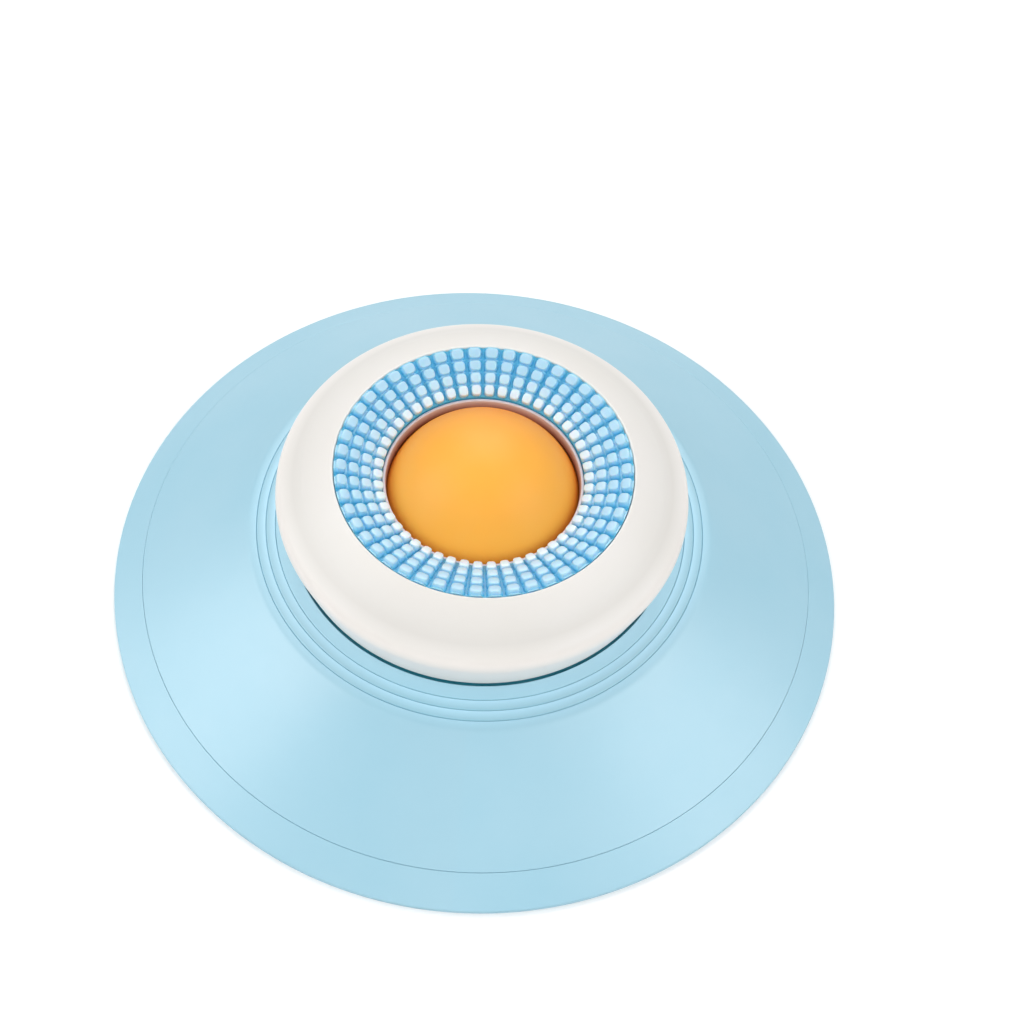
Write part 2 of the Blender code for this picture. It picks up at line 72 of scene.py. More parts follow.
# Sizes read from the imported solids
RIM_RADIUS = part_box("rim_grip")[1].x
SEAT_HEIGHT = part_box("base_skirt")[1].z
TONGUE_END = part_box("base_skirt")[1].x
CUP_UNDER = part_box("food_cup")[0].z
CUP_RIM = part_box("food_cup")[1].z
FLANGE_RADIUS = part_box("food_cup")[1].x
SEAL_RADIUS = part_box("cup_seal")[1].x
SEAL_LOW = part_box("cup_seal")[0].z
SEAL_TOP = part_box("cup_seal")[1].z
RETAINER_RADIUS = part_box("retaining_ring")[1].x
RETAINER_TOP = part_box("retaining_ring")[1].z
NUB_FLANGE_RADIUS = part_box("nub_ring")[1].x
COLLAR_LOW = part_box("collar")[0].z
COLLAR_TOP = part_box("collar")[1].z
COLLAR_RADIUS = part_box("collar")[1].x
BALL_LOW, BALL_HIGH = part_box("lick_ball")

# Fits, and roundings that several pieces share
GAP = 0.3 * MM
HAIR_ROUND = 0.1 * MM
FINE_ROUND = 0.2 * MM
EDGE_ROUND = 0.3 * MM
BROAD_ROUND = 0.5 * MM

# Base skirt
RIM_EDGE = 1.0 * MM
TERRACE_COUNT = 3
TERRACE_WIDTH = 1.9 * MM
TERRACE_RISE = 0.8 * MM
TERRACE_DROP = 0.15 * MM  # fall at each step's edge; the rest of the rise is slope
TERRACE_EDGE = 0.25 * MM
STREAK_WIDTH = 1.5 * MM  # a painted highlight streak from each crease outward
SEAT_STREAK = 0.5  # its strength all over the seat's edge, inside the first crease
NECK_STREAK = 0.5  # and outside the last one
CLEFT_WIDTH = 0.6 * MM  # painted shade inside each crease
CLEFT_SHARE = 0.2  # and its strength
CREASE_WIDTH = 0.16 * MM
CREASE_DEPTH = 0.16 * MM
SEAT_RADIUS = 40.9 * MM
SEAT_THICKNESS = 2.6 * MM
MOAT_INSIDE = 1.2 * MM  # the groove in the seat reaches this far under the collar's foot
MOAT_OUTSIDE = 0.38 * MM  # and this far past it, where it shows as a dark line
MOAT_DEPTH = 1.4 * MM
MOAT_ROUND = 0.12 * MM
MOAT_BRIM = 0.9  # share of that rounding that keeps the seat's colour, free of the moat's painted shade
SKIRT_WALL = 2.4 * MM
NECK_ROUND = 3.0 * MM
HOLLOW_ROUND = 1.5 * MM  # inside corner between the cone and the seat
SLEEVE_WALL = 2.0 * MM
SLEEVE_DEPTH = 9.0 * MM
SLEEVE_ROUND = 1.0 * MM
SOCKET_ROUND = 0.4 * MM
SOCKET_RADIUS = SEAL_RADIUS + GAP
NECK_RADIUS = SEAT_RADIUS + TERRACE_COUNT * TERRACE_WIDTH
NECK_HEIGHT = SEAT_HEIGHT - TERRACE_COUNT * TERRACE_RISE
CONE_SLOPE = (NECK_HEIGHT - RIM_EDGE) / (RIM_RADIUS - NECK_RADIUS)

# Rim grip
GRIP_WIDTH = 6.2 * MM
GRIP_COVER = 1.0 * MM
GRIP_SEAM = RIM_RADIUS - GRIP_WIDTH
TONGUE_THICKNESS = 1.0 * MM
RIM_ROUND = 0.35 * MM
SEAM_ROUND = 0.06 * MM
SEAM_GAP = 0.05 * MM

# Suction cups
SUCTION_COUNT = 4
SUCTION_WALL = 1.2 * MM
SUCTION_BEND = 5.0 * MM
SUCTION_BEND_RISE = 0.6  # height of the bend, from the lip to the shoulder
SHOULDER_RADIUS = 5.0 * MM
STEM_RADIUS = 2.2 * MM
STEM_LENGTH = 2.9 * MM
HEAD_RADIUS = 3.1 * MM
HEAD_HEIGHT = 1.5 * MM
STEM_ROUND = 0.4 * MM
SHOULDER_ROUND = 1.0 * MM
BOSS_WALL = 2.2 * MM
BOSS_EDGE = 0.4 * MM
BORE_START = 1.0 * MM  # how far under a boss the cut for its bore starts

# Food cup
CUP_WALL = 1.8 * MM
CUP_FLOOR = 1.6 * MM
CUP_FLOOR_RADIUS = 17.0 * MM
CUP_BOWL_TOP = 2.6 * MM
FLANGE_THICKNESS = 1.4 * MM
BOWL_STEPS = 16
RIB_COUNT = 4
RIB_THICKNESS = 1.6 * MM
RIB_INNER = 5.0 * MM
RIB_OUTER = 14.0 * MM
RIB_STEPS = 10
LUG_COUNT = 3
LUG_SPAN = math.radians(24)
LEDGE_SPAN = math.radians(30)
LUG_HEIGHT = 1.8 * MM
LUG_PLAY = 0.4 * MM
LEDGE_REACH_GAP = 0.5 * MM
BLOCK_ROUND = 0.25 * MM
CUP_OUTER = SEAL_RADIUS
CUP_BORE = CUP_OUTER - CUP_WALL
FLANGE_TOP = SEAT_HEIGHT + GAP + FLANGE_THICKNESS

# Ball
BALL_RADIUS = (BALL_HIGH.z - BALL_LOW.z) / 2
BALL_HEIGHT = (BALL_HIGH.z + BALL_LOW.z) / 2
BALL_STEPS = 96

# Collar
COLLAR_WALL = 2.4 * MM
COLLAR_EDGE = 9.55 * MM  # middle of the full round edge, over the seat
BULGE_CORNER = 10.79 * MM  # where the bevel and the side would meet, over the seat
BULGE_REACH = 0.49 * MM  # that corner, past the round edge
BULGE_ROUND = 3.0 * MM
CREASE_ROUND = 2.0 * MM
COLLAR_CREASE = 14.7 * MM  # soft crease over the seat
CREASE_INSET = 5.2 * MM
DULL_WIDTH = 1.7 * MM  # a band of painted shade, strongest this far outside the crease
DULL_RISE = 0.3 * MM  # its points stand no higher than this above the crease
CREASE_DULL = 0.55  # and its strength on the crease itself
EDGE_PALE_START = 2.1 * MM  # the round edge takes a painted highlight from this depth under the crease
EDGE_PALE_END = 3.7 * MM  # and is palest from this depth down
SEAM_PALE = 0.35  # painted highlight beside the nub ring
COLLAR_INNER_ROUND = 2.0 * MM
COLLAR_LIP = 2.2 * MM
COLLAR_SEAM = 0.14 * MM  # fine gap to the nub ring
COLLAR_FOOT_RADIUS = FLANGE_RADIUS + GAP + COLLAR_WALL
MOAT_WIDTH = MOAT_INSIDE + MOAT_OUTSIDE
MOAT_RADIUS = COLLAR_FOOT_RADIUS + (MOAT_OUTSIDE - MOAT_INSIDE) / 2

# Nub ring
NUB_ROWS = 4
NUB_COLUMNS = 50
CELL_STEPS = 4  # mesh steps along each side of a nub's cell
NUB_HEIGHT = 1.3 * MM
NUB_TIP_FILL = 0.68  # share of a column's pitch that a tip fills
NUB_GROOVE = 0.5 * MM  # between neighbours in a row
NUB_ROW_GAP = 0.3 * MM
NUB_TIP_TAPER = 0.1 * MM  # lean of a nub's inner and outer sides
NUB_MARGIN = 0.06 * MM
NUB_WEB = 0.36  # height of the webs that join a column's nubs, in nubs
NUB_EDGE_WEB = 0.42  # and of the web that joins the last nub to the seam
NUB_WEB_TONE = 1.6  # how much paler a web is than a nub's side of its height, in the painted shade and highlight
NUB_SEAM = 0.1 * MM  # fine gap to the lip
NUB_SQUARENESS = 3.6
NUB_CROWN = 1.02  # height of a tip's middle, in nubs
# Levels of a nub's side: share of its height, share of its taper, and width added in millimetres
NUB_SIDE_LEVELS = ((0.0, 0.0, 0.06), (0.07, 0.04, 0.0), (0.45, 0.55, 0.0), (0.8, 1.0, 0.0))
# Levels of its rounded tip: share of its height, and width taken off in millimetres
NUB_TIP_LEVELS = ((0.92, 0.04), (0.98, 0.12), (1.0, 0.26))
NUB_STOPS = (0.2, 0.5, 0.9)  # shares of a nub's height that its side, shoulder and tip colours stand at, from painted shade low to painted highlight high
NUB_PALE_WIDTH = 4.5 * MM  # the tips' white fades over this width from the hole
NUB_SHEET = 1.5 * MM
NUB_RECESS = 0.6 * MM
NUB_FLANGE_WIDTH = 2.0 * MM
FUNNEL_DROP = 4.4 * MM
NUB_FLANGE_THICKNESS = 1.2 * MM
NUB_RADIUS = NUB_FLANGE_RADIUS - NUB_FLANGE_WIDTH
HOLE_HEIGHT = COLLAR_TOP - FUNNEL_DROP
NUB_FLANGE_TOP = COLLAR_TOP - COLLAR_LIP - GAP

# Retaining ring and seal
LIP_DEPTH = 3.1 * MM
LIP_RECESS = 0.4 * MM
LIP_WALL = 0.6 * MM
LIP_ROUND = 0.25 * MM
LIP_CLOSE = 0.25 * MM  # lean of the lip's wall toward the ball
LIP_SHADE_DEPTH = 1.6 * MM  # painted shade and the ball's painted orange reflection deepen the wall to rose over this depth
BALL_PLAY = 0.4 * MM
RETAINER_THICKNESS = 2.2 * MM
LIP_TOP = HOLE_HEIGHT - LIP_RECESS
LIP_UNDER = HOLE_HEIGHT - LIP_DEPTH
HOLE_RADIUS = math.sqrt(BALL_RADIUS**2 - (LIP_UNDER - BALL_HEIGHT) ** 2) + BALL_PLAY
LIP_RADIUS = HOLE_RADIUS + LIP_WALL
NUB_BORE = LIP_RADIUS + NUB_SEAM
SEAL_SKIRT = 1.0 * MM
SEAL_THICKNESS = 1.3 * MM
SEAL_BORE = CUP_BORE - GAP - SEAL_SKIRT

# Colours, as they look in plain light, with painted shade and painted highlights among them
SKIRT_BLUE = "8FC4D8"
SKIRT_BLUE_PALE = "96C7DA"
# painted shade in the moat and in the steps' creases
MOAT_SHADE_TEAL = "2C9CB2"
# painted highlight on the steps' streaks
STEP_HIGHLIGHT = "AFE0F5"
RIM_BLUE = "8FC4D8"
SUCTION_BLUE = "BFE0EA"
SUCTION_PALE = "CFE8F0"
COLLAR_WHITE = "E9E7E4"
COLLAR_WARM = "E5E2DC"
# painted shade in the band outside the collar's crease
COLLAR_SHADE = "E1DED9"
# painted highlight on the collar's round edge, side and seam
COLLAR_HIGHLIGHT = "F5F0EB"
CUP_WHITE = "EEEEED"
CUP_DULL = "E9E9E7"
SEAL_GREY = "DCDEDE"
SEAL_DULL = "D2D5D6"
LIP_LILAC = "E4DDE8"
LIP_PALE = "DDD6E2"
# painted shade and the ball's painted orange reflection on the lip's wall
LIP_SHADE_ROSE = "AC6A50"
BALL_ORANGE = "FFB140"
BALL_AMBER = "FFB84A"
BALL_SHEEN_RED = "FF6A10"
# nub colours by height: painted shade in the valleys, painted highlight toward the tips
NUB_VALLEY_SHADE = "44B2DC"
NUB_SIDE = "6CC2E6"
NUB_SHOULDER = "92D2EF"
NUB_INNER_SIDE = "A2D6F0"
NUB_INNER_SHOULDER = "CBE5F4"
NUB_TIP_HIGHLIGHT = "ACD6EB"
NUB_INNER_TIP_HIGHLIGHT = "E6F0F6"

# Gloss and sheen, and light that seeps in by a reach in millimetres of red, green and blue
NUB_SHINE = 1.0
NUB_ROUGHNESS = 0.35
NUB_GLOSS_SPREAD = 0.04
NUB_GRAIN = 0.1
NUB_GLOW = 0.5
NUB_GLOW_REACH = (0.25, 0.7, 1.0)
BALL_SHEEN = 0.6
BALL_SHEEN_ROUGHNESS = 0.5
BALL_GLOW = 0.1
BALL_GLOW_REACH = (1.6, 0.6, 0.2)

# Grain and clouds of the moulded pieces, in waves to a metre and levels of detail
NOISE_LOW = 0.3  # the middle part of the noise, which is spread over the whole range
NOISE_HIGH = 0.7
CLOUD_WAVES = 45
CLOUD_DETAIL = 3
GLOSS_WAVES = 900
GLOSS_DETAIL = 4
GLOSS_SPREAD = 0.02  # how far the roughness strays to either side
GRAIN_WAVES = 2600
GRAIN_DETAIL = 3
GRAIN_SOFTNESS = 0.6
GRAIN_DEPTH = 0.05 * MM

# Studio, in metres
FLOOR_SIZE = 6.0
FLOOR_LEVEL = -0.05 * MM  # just under the foot, so that the two don't share a face
FLOOR_COLOUR = 0.92
FLOOR_LIFT = 0.12  # added for the camera near the object, so that the open floor is white
FLOOR_NEAR = 0.25  # from here out the lift grows, to the far floor's full white
FLOOR_FAR = 0.8
AMBIENT = 0.13
LAMP_DISTANCE = 0.9
LAMP_SIZE = 0.7
# Soft boxes: turn about Z and elevation in degrees, power in watts, and whether they show in the gloss
LAMPS = {
    "left_softbox": (185, 37, 3.5, True),
    "right_softbox": (-15, 40, 3.0, True),
    "front_fill": (-90, 42, 3.25, False),
    "back_softbox": (90, 45, 4.2, True),
}


def linear(colour):
    """Linear red, green, blue and alpha of a colour written as six hexadecimal digits."""
    channels = []
    for start in (0, 2, 4):
        value = int(colour[start : start + 2], 16) / 255
        channels.append(value / 12.92 if value <= 0.04045 else ((value + 0.055) / 1.055) ** 2.4)
    return (*channels, 1.0)


def clamped(share):
    return max(0.0, min(1.0, share))


def corner_arc(here, before, after, rounding):
    """Points of the arc that rounds a corner, with a point on each side that keeps the side flat."""
    inside = before.angle(after)
    if not rounding or inside > math.pi - ARC_STEP / 4:
        return [here]
    turn = math.pi - inside
    shortest = min(before.length, after.length)
    reach = min(rounding * math.tan(turn / 2), REACH_SHARE * shortest)
    to_before = before.normalized()
    to_after = after.normalized()
    radius = reach / math.tan(turn / 2)
    centre = here + (to_before + to_after).normalized() * (radius / math.sin(inside / 2))
    start = here + to_before * reach - centre
    end = here + to_after * reach - centre
    steps = max(2, math.ceil(turn / ARC_STEP))
    points = []
    if before.length > 2 * (reach + 2 * SUPPORT):
        points.append(here + to_before * (reach + SUPPORT))
    for step in range(steps + 1):
        share = step / steps
        swing = start * math.sin((1 - share) * turn) + end * math.sin(share * turn)
        points.append(centre + swing / math.sin(turn))
    if after.length > 2 * (reach + 2 * SUPPORT):
        points.append(here + to_after * (reach + SUPPORT))
    return points


def rounded(corners):
    """A closed outline of (radius, height) points from corners of (radius, height, rounding)."""
    outline = []
    for index, (radius, height, rounding) in enumerate(corners):
        here = Vector((radius, height))
        before = Vector(corners[index - 1][:2]) - here
        after = Vector(corners[(index + 1) % len(corners)][:2]) - here
        outline.extend((point.x, point.y) for point in corner_arc(here, before, after, rounding))
    return outline


def join_rings(solid, near, far):
    """Faces between two rings of points; a ring of one point is a tip."""
    count = max(len(near), len(far))
    for step in range(count):
        ahead = (step + 1) % count
        corners = (
            near[step % len(near)],
            near[ahead % len(near)],
            far[ahead % len(far)],
            far[step % len(far)],
        )
        solid.faces.new(list(dict.fromkeys(corners)))


def ring(solid, radius, height, steps, centre=(0.0, 0.0)):
    turns = [math.tau * step / steps for step in range(steps if radius else 1)]
    return [
        solid.verts.new((centre[0] + radius * math.cos(a), centre[1] + radius * math.sin(a), height))
        for a in turns
    ]


def turned(outline, steps, centre=(0.0, 0.0)):
    """A bmesh solid of a closed outline turned about an upright axis."""
    solid = bmesh.new()
    rings = [ring(solid, radius, height, steps, centre) for radius, height in outline]
    for near, far in zip(rings, rings[1:] + rings[:1]):
        if len(near) > 1 or len(far) > 1:
            join_rings(solid, near, far)
    return solid


def add_piece(name, solid):
    bmesh.ops.recalc_face_normals(solid, faces=solid.faces)
    mesh = bpy.data.meshes.new(name)
    solid.to_mesh(mesh)
    solid.free()
    mesh.shade_smooth()
    mesh.set_sharp_from_angle(angle=SHARP_ANGLE)
    piece = bpy.data.objects.new(name, mesh)
    bpy.context.scene.collection.objects.link(piece)
    return piece


def combine(piece, operation, solid):
    """Joins a bmesh solid to a piece, or cuts it away."""
    other = add_piece("operand", solid)
    step = piece.modifiers.new("operand", "BOOLEAN")
    step.operation = operation
    step.object = other
    step.solver = "EXACT"
    depsgraph = bpy.context.evaluated_depsgraph_get()
    mesh = bpy.data.meshes.new_from_object(piece.evaluated_get(depsgraph))
    piece.modifiers.clear()
    bpy.data.meshes.remove(other.data)
    piece.data = mesh
    mesh.shade_smooth()
    mesh.set_sharp_from_angle(angle=SHARP_ANGLE)


def dress(piece, finish, body, slot, *nodes):
    """Gives a piece its finish, its body and the solids that it stands for."""
    piece.data.materials.clear()
    piece.data.materials.append(finish)
    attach(piece, body)
    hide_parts(*nodes)


def add_loft(solid, sections):
    """A closed solid through matching loops of corners."""
    loops = [[solid.verts.new(corner) for corner in section] for section in sections]
    for near, far in zip(loops, loops[1:]):
        join_rings(solid, near, far)
    solid.faces.new(loops[0])
    solid.faces.new(loops[-1])


def curved_blocks(inner, outer, low, high, span, first):
    """Blocks on a circle about Z, evenly spaced from the first one's angle, with softened edges."""
    solid = bmesh.new()
    for index in range(LUG_COUNT):
        sections = []
        for step in range(BLOCK_STEPS + 1):
            angle = first + math.tau * index / LUG_COUNT + span * (step / BLOCK_STEPS - 0.5)
            corners = ((inner, low), (outer, low), (outer, high), (inner, high))
            sections.append([(r * math.cos(angle), r * math.sin(angle), z) for r, z in corners])
        add_loft(solid, sections)
    bmesh.ops.recalc_face_normals(solid, faces=solid.faces)
    edges = [edge for edge in solid.edges if edge.calc_face_angle() > BLOCK_EDGE_ANGLE]
    bmesh.ops.bevel(
        solid, geom=edges, offset=BLOCK_ROUND, segments=BLOCK_ROUND_STEPS, profile=0.5, affect="EDGES"
    )
    return solid


def new_material(name):
    """A node material, with its tree and its shader's inputs."""
    made = bpy.data.materials.new(name)
    made.use_nodes = True
    return made, made.node_tree, shader_inputs(made)


def shader_inputs(finish):
    return finish.node_tree.nodes["Principled BSDF"].inputs


def noise(tree, scale, detail, softness=0.5):
    """Noise in the piece's own coordinates, with scale in waves to a metre."""
    place = tree.nodes.new("ShaderNodeTexCoord")
    made = tree.nodes.new("ShaderNodeTexNoise")
    made.inputs["Scale"].default_value = scale
    made.inputs["Detail"].default_value = detail
    made.inputs["Roughness"].default_value = softness
    tree.links.new(place.outputs["Object"], made.inputs["Vector"])
    return made.outputs["Fac"]


def spread(tree, source, low, high):
    """A number from 0 to 1, mapped to low to high from its middle part."""
    made = tree.nodes.new("ShaderNodeMapRange")
    made.inputs["From Min"].default_value = NOISE_LOW
    made.inputs["From Max"].default_value = NOISE_HIGH
    made.inputs["To Min"].default_value = low
    made.inputs["To Max"].default_value = high
    tree.links.new(source, made.inputs["Value"])
    return made.outputs["Result"]


def mix_colours(tree, share, first, second):
    made = tree.nodes.new("ShaderNodeMix")
    made.data_type = "RGBA"
    tree.links.new(share, made.inputs["Factor"])
    for source, target in ((first, made.inputs["A"]), (second, made.inputs["B"])):
        if isinstance(source, str):
            target.default_value = linear(source)
        else:
            tree.links.new(source, target)
    return made.outputs["Result"]


def add_grain(tree, inputs, roughness, spread_by, bump):
    """Fine grain that breaks up the gloss and lies in the surface as a shallow bump."""
    patches = noise(tree, GLOSS_WAVES, GLOSS_DETAIL)
    gloss = spread(tree, patches, roughness - spread_by, roughness + spread_by)
    tree.links.new(gloss, inputs["Roughness"])
    fine = noise(tree, GRAIN_WAVES, GRAIN_DETAIL, GRAIN_SOFTNESS)
    made = tree.nodes.new("ShaderNodeBump")
    made.inputs["Strength"].default_value = bump
    made.inputs["Distance"].default_value = GRAIN_DEPTH
    tree.links.new(fine, made.inputs["Height"])
    tree.links.new(made.outputs["Normal"], inputs["Normal"])


def moulded(name, colour, drift, roughness, bump, specular=0.5, ior=1.5):
    """Moulded plastic or rubber: its colour drifts in soft clouds, under a fine grain."""
    made, tree, inputs = new_material(name)
    clouds = spread(tree, noise(tree, CLOUD_WAVES, CLOUD_DETAIL), 0.0, 1.0)
    tree.links.new(mix_colours(tree, clouds, colour, drift), inputs["Base Color"])
    inputs["Specular IOR Level"].default_value = specular
    inputs["IOR"].default_value = ior
    add_grain(tree, inputs, roughness, GLOSS_SPREAD, bump)
    return made


def tint(finish, name, colour):
    """Blends a finish toward a colour by a vertex attribute."""
    tree = finish.node_tree
    target = shader_inputs(finish)["Base Color"]
    plain = target.links[0].from_socket
    tree.links.new(mix_colours(tree, attribute(tree, name), plain, colour), target)
    return finish


def attribute(tree, name):
    made = tree.nodes.new("ShaderNodeAttribute")
    made.attribute_name = name
    return made.outputs["Fac"]


def nub_material():
    """Soft sky blue rubber, with painted shade deepening the blue between the nubs and a painted highlight
    paling it at the tips, palest in the innermost row.
    """
    made, tree, inputs = new_material("nub_rubber")
    ramps = []
    outer = (NUB_SIDE, NUB_SHOULDER, NUB_TIP_HIGHLIGHT)
    inner = (NUB_INNER_SIDE, NUB_INNER_SHOULDER, NUB_INNER_TIP_HIGHLIGHT)
    for colours in (outer, inner):
        ramp = tree.nodes.new("ShaderNodeValToRGB")
        ramp.color_ramp.elements.remove(ramp.color_ramp.elements[1])
        ramp.color_ramp.elements[0].color = linear(NUB_VALLEY_SHADE)
        for place, colour in zip(NUB_STOPS, colours):
            ramp.color_ramp.elements.new(place).color = linear(colour)
        tree.links.new(attribute(tree, "tip"), ramp.inputs["Fac"])
        ramps.append(ramp.outputs["Color"])
    colour = mix_colours(tree, attribute(tree, "paleness"), *ramps)
    tree.links.new(colour, inputs["Base Color"])
    inputs["Specular IOR Level"].default_value = NUB_SHINE
    add_glow(inputs, NUB_GLOW, NUB_GLOW_REACH)
    add_grain(tree, inputs, NUB_ROUGHNESS, NUB_GLOSS_SPREAD, NUB_GRAIN)
    return made


def ball_material():
    """Satin plastic with a warm sheen, which lets a little light in."""
    made = moulded("ball_plastic", BALL_ORANGE, BALL_AMBER, roughness=0.45, bump=0.05, specular=0.35)
    inputs = shader_inputs(made)
    add_glow(inputs, BALL_GLOW, BALL_GLOW_REACH)
    inputs["Sheen Weight"].default_value = BALL_SHEEN
    inputs["Sheen Roughness"].default_value = BALL_SHEEN_ROUGHNESS
    inputs["Sheen Tint"].default_value = linear(BALL_SHEEN_RED)
    return made


def add_glow(inputs, weight, reach):
    """Light that seeps into a finish, with its reach in millimetres of red, green and blue."""
    inputs["Subsurface Weight"].default_value = weight
    inputs["Subsurface Radius"].default_value = reach
    inputs["Subsurface Scale"].default_value = MM


def cone_height(radius, depth=0.0):
    """Height of the skirt's cone at a radius, at a depth square to its outer face."""
    outer = RIM_EDGE + (RIM_RADIUS - radius) * CONE_SLOPE
    return outer - depth * math.hypot(1.0, CONE_SLOPE)


def crease_radii():
    return [SEAT_RADIUS + index * TERRACE_WIDTH for index in range(TERRACE_COUNT)]


def terrace_corners(start):
    """Sloping steps from a radius on the seat to the neck, each with a rolled edge and a fine crease."""
    slope_fall = SEAT_HEIGHT - NECK_HEIGHT - TERRACE_COUNT * TERRACE_DROP
    slope = slope_fall / (NECK_RADIUS - start)
    corners = []
    for index, foot in enumerate(crease_radii()):
        edge = SEAT_HEIGHT - index * TERRACE_DROP - (foot - start) * slope
        low = edge - TERRACE_DROP
        corners.append((foot, edge, TERRACE_EDGE))
        corners.append((foot + CREASE_WIDTH / 2, low - CREASE_DEPTH, 0.0))
        corners.append((foot + CREASE_WIDTH, low, 0.0))
    return corners


def skirt_corners():
    tongue_under = GRIP_COVER + TONGUE_THICKNESS
    seat_under = SEAT_HEIGHT - SEAT_THICKNESS
    wall_foot = cone_height(GRIP_SEAM, SKIRT_WALL)
    under_radius = GRIP_SEAM - (seat_under - wall_foot) / CONE_SLOPE
    sleeve_foot = SEAT_HEIGHT - SLEEVE_DEPTH
    moat_inner = COLLAR_FOOT_RADIUS - MOAT_INSIDE
    moat_outer = COLLAR_FOOT_RADIUS + MOAT_OUTSIDE
    moat_floor = SEAT_HEIGHT - MOAT_DEPTH
    return [
        (SOCKET_RADIUS, SEAT_HEIGHT, SOCKET_ROUND),
        (moat_inner, SEAT_HEIGHT, MOAT_ROUND),
        (moat_inner, moat_floor, MOAT_ROUND),
        (moat_outer, moat_floor, MOAT_ROUND),
        (moat_outer, SEAT_HEIGHT, MOAT_ROUND),
        *terrace_corners(moat_outer),
        (NECK_RADIUS, NECK_HEIGHT, NECK_ROUND),
        (GRIP_SEAM, cone_height(GRIP_SEAM), SEAM_ROUND),
        (GRIP_SEAM, cone_height(GRIP_SEAM, GRIP_COVER), 0.0),
        (TONGUE_END, cone_height(TONGUE_END, GRIP_COVER), 0.0),
        (TONGUE_END, cone_height(TONGUE_END, tongue_under), 0.0),
        (GRIP_SEAM, cone_height(GRIP_SEAM, tongue_under), 0.0),
        (GRIP_SEAM, wall_foot, 0.0),
        (under_radius, seat_under, HOLLOW_ROUND),
        (SOCKET_RADIUS + SLEEVE_WALL, seat_under, SLEEVE_ROUND),
        (SOCKET_RADIUS + SLEEVE_WALL, sleeve_foot, BROAD_ROUND),
        (SOCKET_RADIUS, sleeve_foot, BROAD_ROUND),
    ]


def suction_boxes():
    return [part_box(f"suction_cup_{index + 1}") for index in range(SUCTION_COUNT)]


def box_middle(low, high):
    return ((low.x + high.x) / 2, (low.y + high.y) / 2)


def mark_steps(mesh):
    """Attributes for a painted highlight streak outside each crease, and painted shade inside it and in the
    moat.
    """
    highlight_streak = mesh.attributes.new("highlight_streak", "FLOAT", "POINT")
    cleft_shade = mesh.attributes.new("cleft_shade", "FLOAT", "POINT")
    for vertex, pale, deep in zip(mesh.vertices, highlight_streak.data, cleft_shade.data):
        radius = vertex.co.xy.length
        sunk = SEAT_HEIGHT - vertex.co.z
        past = [radius - crease for crease in crease_radii()]
        in_moat = abs(radius - MOAT_RADIUS) < MOAT_WIDTH / 2 + MOAT_ROUND
        if in_moat and MOAT_ROUND * MOAT_BRIM < sunk < MOAT_DEPTH + MOAT_ROUND:
            deep.value = 1.0
        elif radius > MOAT_RADIUS:
            pale.value = max(fading(gap - CREASE_WIDTH, STREAK_WIDTH) for gap in past)
            if past[0] <= TINY:
                pale.value = SEAT_STREAK
            if past[-1] > TINY:
                pale.value *= NECK_STREAK
            deep.value = CLEFT_SHARE * max(fading(CREASE_WIDTH / 2 - gap, CLEFT_WIDTH) for gap in past)


def fading(distance, width):
    """A share that falls from 1 at no distance to 0 at the width, and is 0 below no distance."""
    if distance < -TINY:
        return 0.0
    return max(0.0, 1 - distance / width)


def make_skirt(finish):
    """The flared base with its terraces, and the bosses that hold the suction cups."""
    piece = add_piece("skirt_shell", turned(rounded(skirt_corners()), TURN_STEPS))
    posts = bmesh.new()
    bores = bmesh.new()
    for low, high in suction_boxes():
        middle = box_middle(low, high)
        stem_top = high.z - HEAD_HEIGHT
        boss_low = stem_top - STEM_LENGTH + GAP
        add_post(posts, middle, boss_low)
        neck = STEM_RADIUS + GAP
        chamber = HEAD_RADIUS + GAP
        levels = (
            (neck, boss_low - BORE_START),
            (neck, stem_top - GAP),
            (chamber, stem_top - GAP),
            (chamber, high.z + GAP),
        )
        add_loft(bores, [circle(middle, radius, height) for radius, height in levels])
    combine(piece, "UNION", posts)
    combine(piece, "DIFFERENCE", bores)
    mark_steps(piece.data)
    dress(piece, finish, "base", "skirt", "base_skirt")


def circle(middle, radius, height):
    turns = [math.tau * step / SMALL_STEPS for step in range(SMALL_STEPS)]
    return [(middle[0] + radius * math.cos(a), middle[1] + radius * math.sin(a), height) for a in turns]


def add_post(solid, middle, low):
    """A round boss that grows down from inside the skirt's wall."""
    radius = HEAD_RADIUS + GAP + BOSS_WALL
    head = []
    for x, y, _ in circle(middle, radius, 0.0):
        reach = math.hypot(x, y)
        head.append((x, y, min(cone_height(reach, SKIRT_WALL / 2), SEAT_HEIGHT - SEAT_THICKNESS / 2)))
    foot = circle(middle, radius - BOSS_EDGE, low)
    add_loft(solid, [foot, circle(middle, radius, low + BOSS_EDGE), head])


def make_rim(finish):
    """The soft band round the foot, gripped on the skirt's tongue."""
    inner = GRIP_SEAM + SEAM_GAP
    slot_end = TONGUE_END + GAP
    slot_top = GRIP_COVER - GAP
    slot_under = GRIP_COVER + TONGUE_THICKNESS + GAP
    corners = [
        (inner, cone_height(inner), SEAM_ROUND),
        (RIM_RADIUS, RIM_EDGE, RIM_ROUND),
        (RIM_RADIUS, 0.0, RIM_ROUND),
        (inner, 0.0, RIM_ROUND),
        (inner, cone_height(inner, slot_under), 0.0),
        (slot_end, cone_height(slot_end, slot_under), 0.0),
        (slot_end, cone_height(slot_end, slot_top), 0.0),
        (inner, cone_height(inner, slot_top), 0.0),
    ]
    piece = add_piece("rim_band", turned(rounded(corners), TURN_STEPS))
    dress(piece, finish, "base", "rim", "rim_grip")


